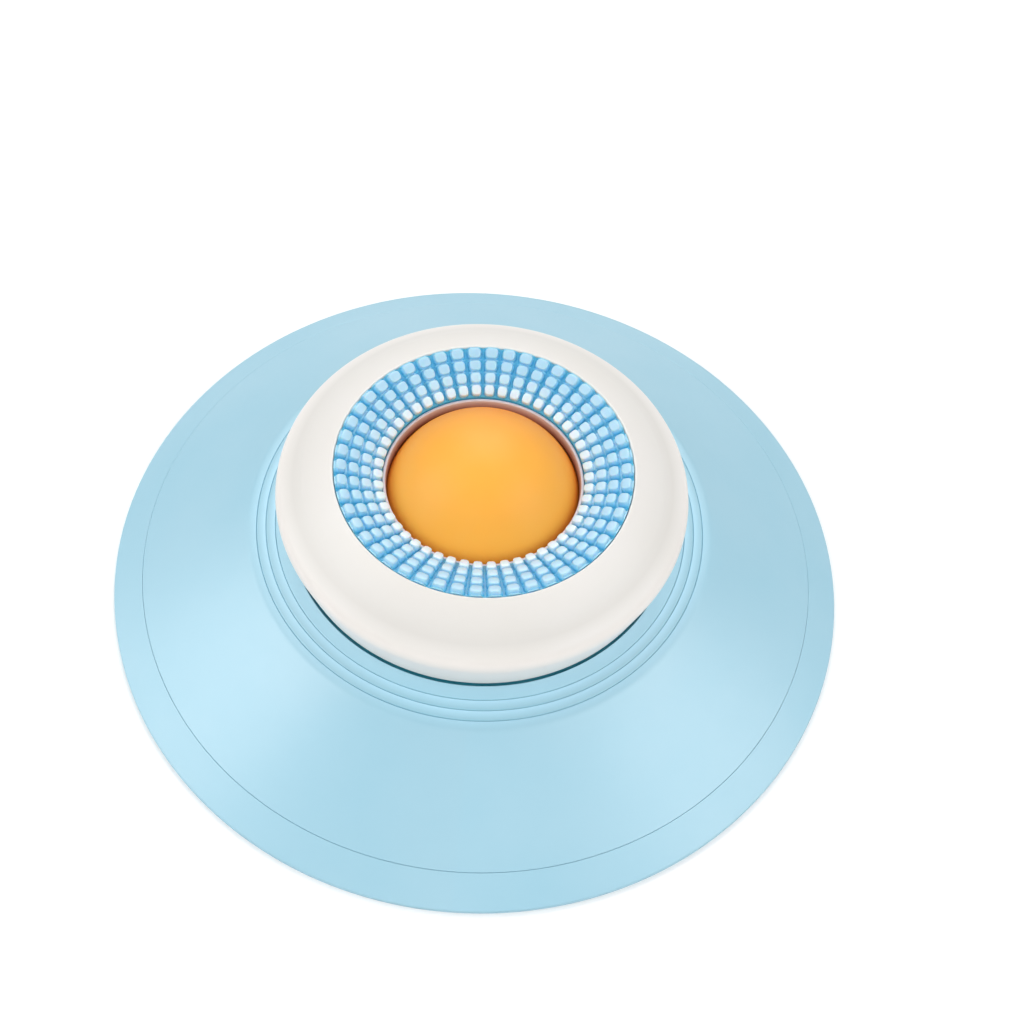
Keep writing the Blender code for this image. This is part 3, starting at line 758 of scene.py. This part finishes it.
def make_suction_cups(finish):
    for index, (low, high) in enumerate(suction_boxes()):
        middle = box_middle(low, high)
        radius = (high.x - low.x) / 2
        stem_top = high.z - HEAD_HEIGHT
        shoulder = stem_top - STEM_LENGTH
        bend = (SHOULDER_RADIUS + radius) / 2
        bend_height = low.z + SUCTION_WALL + (shoulder - low.z - SUCTION_WALL) * SUCTION_BEND_RISE
        corners = [
            (0.0, high.z, 0.0),
            (STEM_RADIUS, high.z, BROAD_ROUND),
            (HEAD_RADIUS, stem_top, EDGE_ROUND),
            (STEM_RADIUS, stem_top, EDGE_ROUND),
            (STEM_RADIUS, shoulder, STEM_ROUND),
            (SHOULDER_RADIUS, shoulder, SHOULDER_ROUND),
            (bend, bend_height, SUCTION_BEND),
            (radius, low.z + SUCTION_WALL / 2, EDGE_ROUND),
            (radius, low.z, HAIR_ROUND),
            (bend, bend_height - SUCTION_WALL, SUCTION_BEND),
            (0.0, shoulder - SUCTION_WALL, 0.0),
        ]
        piece = add_piece(f"suction_disc_{index + 1}", turned(rounded(corners), SMALL_STEPS, middle))
        dress(piece, finish, "base", "suction", f"suction_cup_{index + 1}")


def bowl_curve(wall, floor):
    """A quarter ellipse from the cup's upright wall down to the edge of its flat floor."""
    top = SEAT_HEIGHT - CUP_BOWL_TOP
    curve = []
    for step in range(BOWL_STEPS + 1):
        angle = math.pi / 2 * step / BOWL_STEPS
        radius = CUP_FLOOR_RADIUS + (wall - CUP_FLOOR_RADIUS) * math.cos(angle)
        curve.append((radius, top - (top - floor) * math.sin(angle), 0.0))
    return curve


def cup_corners():
    floor_top = CUP_UNDER + CUP_FLOOR
    inside = [
        (0.0, floor_top, 0.0),
        *reversed(bowl_curve(CUP_BORE, floor_top)),
        (CUP_BORE, CUP_RIM, BROAD_ROUND),
    ]
    outside = [
        (CUP_OUTER, CUP_RIM, BROAD_ROUND),
        (CUP_OUTER, FLANGE_TOP, EDGE_ROUND),
        (FLANGE_RADIUS, FLANGE_TOP, EDGE_ROUND),
        (FLANGE_RADIUS, SEAT_HEIGHT + GAP, EDGE_ROUND),
        (CUP_OUTER, SEAT_HEIGHT + GAP, 0.0),
        *bowl_curve(CUP_OUTER, CUP_UNDER),
        (0.0, CUP_UNDER, 0.0),
    ]
    return inside + outside


def rib_solid():
    """Fins on the cup's floor, hollowed on top to the ball's own curve."""
    solid = bmesh.new()
    root = CUP_UNDER + CUP_FLOOR / 2
    reach = BALL_RADIUS + GAP
    outline = [(RIB_OUTER, root), (RIB_INNER, root)]
    for step in range(RIB_STEPS + 1):
        radius = RIB_INNER + (RIB_OUTER - RIB_INNER) * step / RIB_STEPS
        outline.append((radius, BALL_HEIGHT - math.sqrt(reach**2 - radius**2)))
    for index in range(RIB_COUNT):
        turn = Matrix.Rotation(math.tau * index / RIB_COUNT, 3, "Z")
        sides = []
        for offset in (-RIB_THICKNESS / 2, RIB_THICKNESS / 2):
            sides.append([turn @ Vector((r, offset, z)) for r, z in outline])
        add_loft(solid, sides)
    return solid


def make_cup(finish):
    """The food cup: a bowl with a flange, ribs under the ball and lugs for the collar."""
    piece = add_piece("cup_shell", turned(rounded(cup_corners()), TURN_STEPS))
    combine(piece, "UNION", rib_solid())
    root = CUP_OUTER - CUP_WALL / 2
    low = FLANGE_TOP + 2 * LUG_PLAY + LUG_HEIGHT
    first = math.pi / LUG_COUNT
    lugs = curved_blocks(root, FLANGE_RADIUS, low, low + LUG_HEIGHT, LUG_SPAN, first)
    combine(piece, "UNION", lugs)
    dress(piece, finish, "cup", "cup", "food_cup")


def make_seal(finish):
    skirt_radius = CUP_BORE - GAP
    under = SEAL_TOP - SEAL_THICKNESS
    corners = [
        (SEAL_BORE, SEAL_TOP, EDGE_ROUND),
        (SEAL_RADIUS, SEAL_TOP, EDGE_ROUND),
        (SEAL_RADIUS, under, EDGE_ROUND),
        (skirt_radius, under, 0.0),
        (skirt_radius, SEAL_LOW, EDGE_ROUND),
        (SEAL_BORE, SEAL_LOW, EDGE_ROUND),
    ]
    piece = add_piece("seal_band", turned(rounded(corners), TURN_STEPS))
    dress(piece, finish, "cup", "seal", "cup_seal")


def nub_under(radius):
    share = (radius - NUB_BORE) / (NUB_FLANGE_RADIUS - NUB_BORE)
    low = HOLE_HEIGHT - NUB_SHEET
    return low + (NUB_FLANGE_TOP - NUB_FLANGE_THICKNESS - low) * share


def make_lip(finish):
    """The ring under the nubs, whose lip keeps the ball in."""
    corners = [
        (HOLE_RADIUS, LIP_TOP, LIP_ROUND),
        (LIP_RADIUS, LIP_TOP, FINE_ROUND),
        (LIP_RADIUS, nub_under(LIP_RADIUS) - GAP, 0.0),
        (NUB_FLANGE_RADIUS, RETAINER_TOP, 0.0),
        (RETAINER_RADIUS, RETAINER_TOP, EDGE_ROUND),
        (RETAINER_RADIUS, RETAINER_TOP - RETAINER_THICKNESS, EDGE_ROUND),
        (SEAL_BORE, RETAINER_TOP - RETAINER_THICKNESS, BROAD_ROUND),
        (LIP_RADIUS + LIP_WALL, LIP_UNDER, EDGE_ROUND),
        (HOLE_RADIUS - LIP_CLOSE, LIP_UNDER, HAIR_ROUND),
    ]
    solid = turned(rounded(corners), TURN_STEPS)
    # painted shade and the ball's painted reflection, deeper down the lip's wall
    depth = solid.verts.layers.float.new("depth")
    for vertex in solid.verts:
        if vertex.co.xy.length < HOLE_RADIUS + LIP_WALL / 2:
            vertex[depth] = clamped((LIP_TOP - vertex.co.z) / LIP_SHADE_DEPTH)
    piece = add_piece("lip_ring", solid)
    dress(piece, finish, "lid", "retainer", "retaining_ring")


def funnel_top(radius):
    share = (radius - NUB_BORE) / (NUB_RADIUS - NUB_BORE)
    return HOLE_HEIGHT + (COLLAR_TOP - NUB_RECESS - HOLE_HEIGHT) * share


def square_loop():
    """Points round a square from -1 to 1, as many on each side as a cell has steps."""
    sides = []
    for step in range(CELL_STEPS):
        sides.append(-1 + 2 * step / CELL_STEPS)
    loop = [(along, -1.0) for along in sides]
    loop += [(1.0, along) for along in sides]
    loop += [(-along, 1.0) for along in sides]
    loop += [(-1.0, -along) for along in sides]
    return loop


def row_limits():
    """Inner and outer radius of each row of nubs, at their feet."""
    room = NUB_RADIUS - NUB_BORE - 2 * NUB_MARGIN - (NUB_ROWS - 1) * NUB_ROW_GAP
    length = room / NUB_ROWS
    rows = []
    for row in range(NUB_ROWS):
        start = NUB_BORE + NUB_MARGIN + row * (length + NUB_ROW_GAP)
        rows.append((start, start + length))
    return rows


def cell_radius(row, share):
    """Radius in a row's cell, from -1 at its inner border to 1 at its outer border."""
    rows = row_limits()
    inner = NUB_BORE if row == 0 else (rows[row - 1][1] + rows[row][0]) / 2
    outer = NUB_RADIUS if row == NUB_ROWS - 1 else (rows[row][1] + rows[row + 1][0]) / 2
    return inner + (outer - inner) * (share + 1) / 2


def nub_levels(half_width, half_length, tip_width):
    """Cross-sections of a nub from its foot to its tip: half width, half length and share of its height."""
    tip_length = half_length - NUB_TIP_TAPER
    levels = []
    for height, lean, spare in NUB_SIDE_LEVELS:
        width = half_width + (tip_width - half_width) * lean + spare * MM
        length = half_length + (tip_length - half_length) * lean + spare * MM
        levels.append((width, length, height))
    for height, inset in NUB_TIP_LEVELS:
        levels.append((tip_width - inset * MM, tip_length - inset * MM, height))
    return levels


def funnel_slope():
    return math.atan2(funnel_top(NUB_RADIUS) - funnel_top(NUB_BORE), NUB_RADIUS - NUB_BORE)


def web_height(border):
    """Height of the web on a border between rows, in nubs, with the borders counted from the hole."""
    if border == 0:
        return 0.0
    return NUB_EDGE_WEB if border == NUB_ROWS else NUB_WEB


def add_nub(solid, layers, border, centre_angle, row):
    """One tapered nub with a soft square tip, joined to the border of its cell."""
    limits = row_limits()[row]
    middle = (limits[0] + limits[1]) / 2
    slope = funnel_slope()
    webs = {-1.0: web_height(row), 1.0: web_height(row + 1)}
    out = Vector((math.cos(centre_angle), math.sin(centre_angle), 0.0))
    across = Vector((-out.y, out.x, 0.0))
    along = out * math.cos(slope) + Vector((0.0, 0.0, math.sin(slope)))
    away = along.cross(across)
    tip, paleness = layers
    pale = max(0.0, 1.0 - (middle - NUB_BORE) / NUB_PALE_WIDTH)
    root = out * middle + Vector((0.0, 0.0, funnel_top(middle)))
    pitch = middle * math.tau / NUB_COLUMNS
    half_width = (pitch - NUB_GROOVE) / 2
    tip_width = pitch * NUB_TIP_FILL / 2
    half_length = (limits[1] - limits[0]) / 2 / math.cos(slope)
    loop = border
    for width, length, height in nub_levels(half_width, half_length, tip_width):
        level = []
        for u, v in square_loop():
            size = (abs(u) ** NUB_SQUARENESS + abs(v) ** NUB_SQUARENESS) ** (1 / NUB_SQUARENESS)
            x = width * u / size
            y = length * v / size
            x *= 1 + y * math.cos(slope) / middle
            rise = max(height, webs.get(v, 0.0)) if abs(u) < 1 else height
            vertex = solid.verts.new(root + across * x + along * y + away * (rise * NUB_HEIGHT))
            # the tip attribute is the height that the painted shade and highlight follow
            vertex[tip] = rise if rise == height else rise * NUB_WEB_TONE
            vertex[paleness] = pale
            level.append(vertex)
        join_rings(solid, loop, level)
        loop = level
    crown = solid.verts.new(root + away * (NUB_HEIGHT * NUB_CROWN))
    crown[tip] = 1.0
    crown[paleness] = pale
    join_rings(solid, loop, [crown])


def make_nubs(finish):
    """The soft funnel with its rows of nubs, and the flange that the collar holds down."""
    solid = bmesh.new()
    layers = [solid.verts.layers.float.new(name) for name in ("tip", "paleness")]
    turns = NUB_COLUMNS * CELL_STEPS
    lattice = {}

    def lattice_vertex(row, u, v, column):
        out_step = round((v + 1) / 2 * CELL_STEPS) + row * CELL_STEPS
        turn_step = (round((u + 1) / 2 * CELL_STEPS) + column * CELL_STEPS) % turns
        place = (out_step, turn_step)
        if place not in lattice:
            on_web = out_step % CELL_STEPS == 0 and turn_step % CELL_STEPS
            web = web_height(out_step // CELL_STEPS) if on_web else 0.0
            radius = cell_radius(row, v)
            angle = math.tau * turn_step / turns
            height = funnel_top(radius) + web * NUB_HEIGHT
            lattice[place] = solid.verts.new((radius * math.cos(angle), radius * math.sin(angle), height))
            lattice[place][layers[0]] = web * NUB_WEB_TONE
        return lattice[place]

    for row in range(NUB_ROWS):
        for column in range(NUB_COLUMNS):
            border = [lattice_vertex(row, u, v, column) for u, v in square_loop()]
            add_nub(solid, layers, border, math.tau * (column + 0.5) / NUB_COLUMNS, row)
    rim = [lattice[(NUB_ROWS * CELL_STEPS, step)] for step in range(turns)]
    mouth = [lattice[(0, step)] for step in range(turns)]
    flange_under = NUB_FLANGE_TOP - NUB_FLANGE_THICKNESS
    levels = (
        (NUB_RADIUS, NUB_FLANGE_TOP),
        (NUB_FLANGE_RADIUS, NUB_FLANGE_TOP),
        (NUB_FLANGE_RADIUS, flange_under),
        (NUB_BORE, nub_under(NUB_BORE)),
    )
    last = rim
    for radius, height in levels:
        level = ring(solid, radius, height, turns)
        join_rings(solid, last, level)
        last = level
    join_rings(solid, last, mouth)
    piece = add_piece("nub_field", solid)
    dress(piece, finish, "lid", "nubs", "nub_ring")


def collar_corners():
    edge = SEAT_HEIGHT + COLLAR_EDGE
    recess = NUB_FLANGE_RADIUS + GAP
    ceiling = RETAINER_TOP + GAP
    seam = NUB_RADIUS + COLLAR_SEAM
    crease = COLLAR_RADIUS - CREASE_INSET
    return [
        (seam, COLLAR_TOP, EDGE_ROUND),
        (crease, SEAT_HEIGHT + COLLAR_CREASE, CREASE_ROUND),
        (crease + DULL_WIDTH, SEAT_HEIGHT + COLLAR_CREASE - dull_drop(), 0.0),
        (COLLAR_RADIUS + BULGE_REACH, SEAT_HEIGHT + BULGE_CORNER, BULGE_ROUND),
        (COLLAR_FOOT_RADIUS, COLLAR_LOW, FINE_ROUND),
        (FLANGE_RADIUS + GAP, COLLAR_LOW, FINE_ROUND),
        (COLLAR_RADIUS - COLLAR_WALL, edge, COLLAR_INNER_ROUND),
        (RETAINER_RADIUS + GAP, ceiling, BROAD_ROUND),
        (recess, ceiling, 0.0),
        (recess, COLLAR_TOP - COLLAR_LIP, 0.0),
        (seam, COLLAR_TOP - COLLAR_LIP, 0.0),
    ]


def dull_drop():
    """Depth under the crease of the painted shade band's outer side, on the bevel."""
    return DULL_WIDTH * (COLLAR_CREASE - BULGE_CORNER) / (CREASE_INSET + BULGE_REACH)


def mark_collar(mesh):
    """Attributes for painted shade in a band outside the crease, and a painted highlight on the round edge,
    side and seam.
    """
    crease_shade = mesh.attributes.new("crease_shade", "FLOAT", "POINT")
    pale = mesh.attributes.new("pale", "FLOAT", "POINT")
    for vertex, band, edge in zip(mesh.vertices, crease_shade.data, pale.data):
        drop = SEAT_HEIGHT + COLLAR_CREASE - vertex.co.z
        if drop < -DULL_RISE:
            edge.value = SEAM_PALE
        elif drop < dull_drop() + TINY:
            band.value = CREASE_DULL + (1 - CREASE_DULL) * max(0.0, drop / dull_drop())
        else:
            edge.value = clamped((drop - EDGE_PALE_START) / (EDGE_PALE_END - EDGE_PALE_START))


def make_collar(finish):
    """The white collar, with ledges inside that turn under the cup's lugs."""
    piece = add_piece("collar_shell", turned(rounded(collar_corners()), TURN_STEPS))
    reach = CUP_OUTER + LEDGE_REACH_GAP
    bore = FLANGE_RADIUS + GAP
    low = FLANGE_TOP + LUG_PLAY
    ledges = curved_blocks(reach, bore + COLLAR_WALL / 2, low, low + LUG_HEIGHT, LEDGE_SPAN, 0.0)
    combine(piece, "UNION", ledges)
    mark_collar(piece.data)
    dress(piece, finish, "collar", "collar", "collar")


def make_ball(finish):
    outline = [(0.0, BALL_HEIGHT + BALL_RADIUS)]
    rings = BALL_STEPS // 2
    for step in range(1, rings):
        angle = math.pi * step / rings
        outline.append((BALL_RADIUS * math.sin(angle), BALL_HEIGHT + BALL_RADIUS * math.cos(angle)))
    outline.append((0.0, BALL_HEIGHT - BALL_RADIUS))
    piece = add_piece("orange_ball", turned(outline, BALL_STEPS))
    dress(piece, finish, "ball", "ball", "lick_ball")


def seen_directly(tree):
    """1 for rays that the camera, a gloss or a clear piece sends to the backdrop, and 0 for its light."""
    path = tree.nodes.new("ShaderNodeLightPath")
    shares = [path.outputs[name] for name in ("Is Camera Ray", "Is Glossy Ray", "Is Transmission Ray")]
    total = shares[0]
    for share in shares[1:]:
        highest = tree.nodes.new("ShaderNodeMath")
        highest.operation = "MAXIMUM"
        tree.links.new(total, highest.inputs[0])
        tree.links.new(share, highest.inputs[1])
        total = highest.outputs[0]
    return total


def scaled(tree, share, low, high, start=0.0, end=1.0):
    """A number mapped from start to end onto low to high, where high may come from another node."""
    made = tree.nodes.new("ShaderNodeMapRange")
    made.inputs["From Min"].default_value = start
    made.inputs["From Max"].default_value = end
    made.inputs["To Min"].default_value = low
    if isinstance(high, float):
        made.inputs["To Max"].default_value = high
    else:
        tree.links.new(high, made.inputs["To Max"])
    tree.links.new(share, made.inputs["Value"])
    return made.outputs["Result"]


def make_floor():
    """A plain white floor, which takes the object's shadow and is full white far away."""
    mesh = bpy.data.meshes.new("floor")
    half = FLOOR_SIZE / 2
    sides = ((-half, -half), (half, -half), (half, half), (-half, half))
    mesh.from_pydata([(x, y, FLOOR_LEVEL) for x, y in sides], [], [(0, 1, 2, 3)])
    floor = bpy.data.objects.new("floor", mesh)
    bpy.context.scene.collection.objects.link(floor)
    mesh.materials.append(floor_material())


def floor_material():
    made, tree, inputs = new_material("floor_white")
    inputs["Base Color"].default_value = (FLOOR_COLOUR, FLOOR_COLOUR, FLOOR_COLOUR, 1.0)
    inputs["Roughness"].default_value = 1.0
    inputs["Specular IOR Level"].default_value = 0.0
    inputs["Emission Color"].default_value = (1.0, 1.0, 1.0, 1.0)
    place = tree.nodes.new("ShaderNodeTexCoord")
    distance = tree.nodes.new("ShaderNodeVectorMath")
    distance.operation = "LENGTH"
    tree.links.new(place.outputs["Object"], distance.inputs[0])
    lift = scaled(tree, distance.outputs["Value"], FLOOR_LIFT, 1.0, FLOOR_NEAR, FLOOR_FAR)
    shown = scaled(tree, seen_directly(tree), 0.0, lift)
    tree.links.new(shown, inputs["Emission Strength"])
    return made


def make_world():
    world = bpy.data.worlds.new("studio")
    bpy.context.scene.world = world
    world.use_nodes = True
    tree = world.node_tree
    background = tree.nodes["Background"]
    background.inputs["Color"].default_value = (1.0, 1.0, 1.0, 1.0)
    tree.links.new(scaled(tree, seen_directly(tree), AMBIENT, 1.0), background.inputs["Strength"])


def make_lamp(name, turn, elevation, power, glossy):
    """A soft box that faces the object, from an angle about Z and an elevation."""
    lamp = bpy.data.lights.new(name, "AREA")
    lamp.size = LAMP_SIZE
    lamp.energy = power
    thing = bpy.data.objects.new(name, lamp)
    level = math.cos(elevation)
    away = Vector((level * math.cos(turn), level * math.sin(turn), math.sin(elevation)))
    thing.visible_glossy = glossy
    thing.location = away * LAMP_DISTANCE
    thing.rotation_euler = away.to_track_quat("Z", "Y").to_euler()
    bpy.context.scene.collection.objects.link(thing)


def make_camera():
    """The photograph's viewpoint: in front, above, rolled a little, and aimed past the base's middle."""
    lens = bpy.data.cameras.new("camera")
    lens.sensor_fit = "HORIZONTAL"
    lens.sensor_width = SENSOR_WIDTH
    lens.lens = FOCAL_PIXELS / PICTURE_WIDTH * SENSOR_WIDTH
    lens.clip_start = CLIP_START
    toward = Vector((0.0, -math.cos(CAMERA_ELEVATION), math.sin(CAMERA_ELEVATION)))
    place = toward * CAMERA_DISTANCE
    right = Vector((1.0, 0.0, 0.0))
    up = right.cross(-toward)
    ahead = (-toward * FOCAL_PIXELS + right * AIM_RIGHT_PIXELS + up * AIM_UP_PIXELS).normalized()
    right = ahead.cross(up).normalized()
    up = right.cross(ahead)
    tilt = Matrix.Rotation(-CAMERA_ROLL, 3, ahead)
    turn = Matrix((tilt @ right, tilt @ up, -ahead)).transposed()
    camera = bpy.data.objects.new("camera", lens)
    camera.matrix_world = Matrix.Translation(place) @ turn.to_4x4()
    bpy.context.scene.collection.objects.link(camera)
    bpy.context.scene.camera = camera


def main():
    make_camera()
    skirt = moulded(
        "skirt_plastic", SKIRT_BLUE, SKIRT_BLUE_PALE, roughness=0.42, bump=0.06, specular=1.0, ior=1.7
    )
    # painted highlight streaks on the steps, and painted shade in their creases and the moat
    make_skirt(tint(tint(skirt, "highlight_streak", STEP_HIGHLIGHT), "cleft_shade", MOAT_SHADE_TEAL))
    rim = moulded("rim_rubber", RIM_BLUE, SKIRT_BLUE_PALE, roughness=0.45, bump=0.1, specular=1.0, ior=1.7)
    make_rim(rim)
    make_suction_cups(moulded("suction_rubber", SUCTION_BLUE, SUCTION_PALE, roughness=0.25, bump=0.02))
    make_cup(moulded("cup_plastic", CUP_WHITE, CUP_DULL, roughness=0.35, bump=0.04))
    make_seal(moulded("seal_rubber", SEAL_GREY, SEAL_DULL, roughness=0.55, bump=0.1))
    lip = moulded("lip_plastic", LIP_LILAC, LIP_PALE, roughness=0.35, bump=0.04)
    # the lip's wall takes painted shade and the ball's painted reflection
    make_lip(tint(lip, "depth", LIP_SHADE_ROSE))
    # painted shade between the nubs and painted highlight on their tips
    make_nubs(nub_material())
    collar = moulded("collar_plastic", COLLAR_WHITE, COLLAR_WARM, roughness=0.38, bump=0.05, specular=0.4)
    # painted shade beside the crease and painted highlight on the round edge, side and seam
    make_collar(tint(tint(collar, "crease_shade", COLLAR_SHADE), "pale", COLLAR_HIGHLIGHT))
    make_ball(ball_material())
    make_floor()
    make_world()
    for name, (turn, elevation, power, glossy) in LAMPS.items():
        make_lamp(name, math.radians(turn), math.radians(elevation), power, glossy)
    bpy.context.scene.view_settings.view_transform = "Standard"


main()
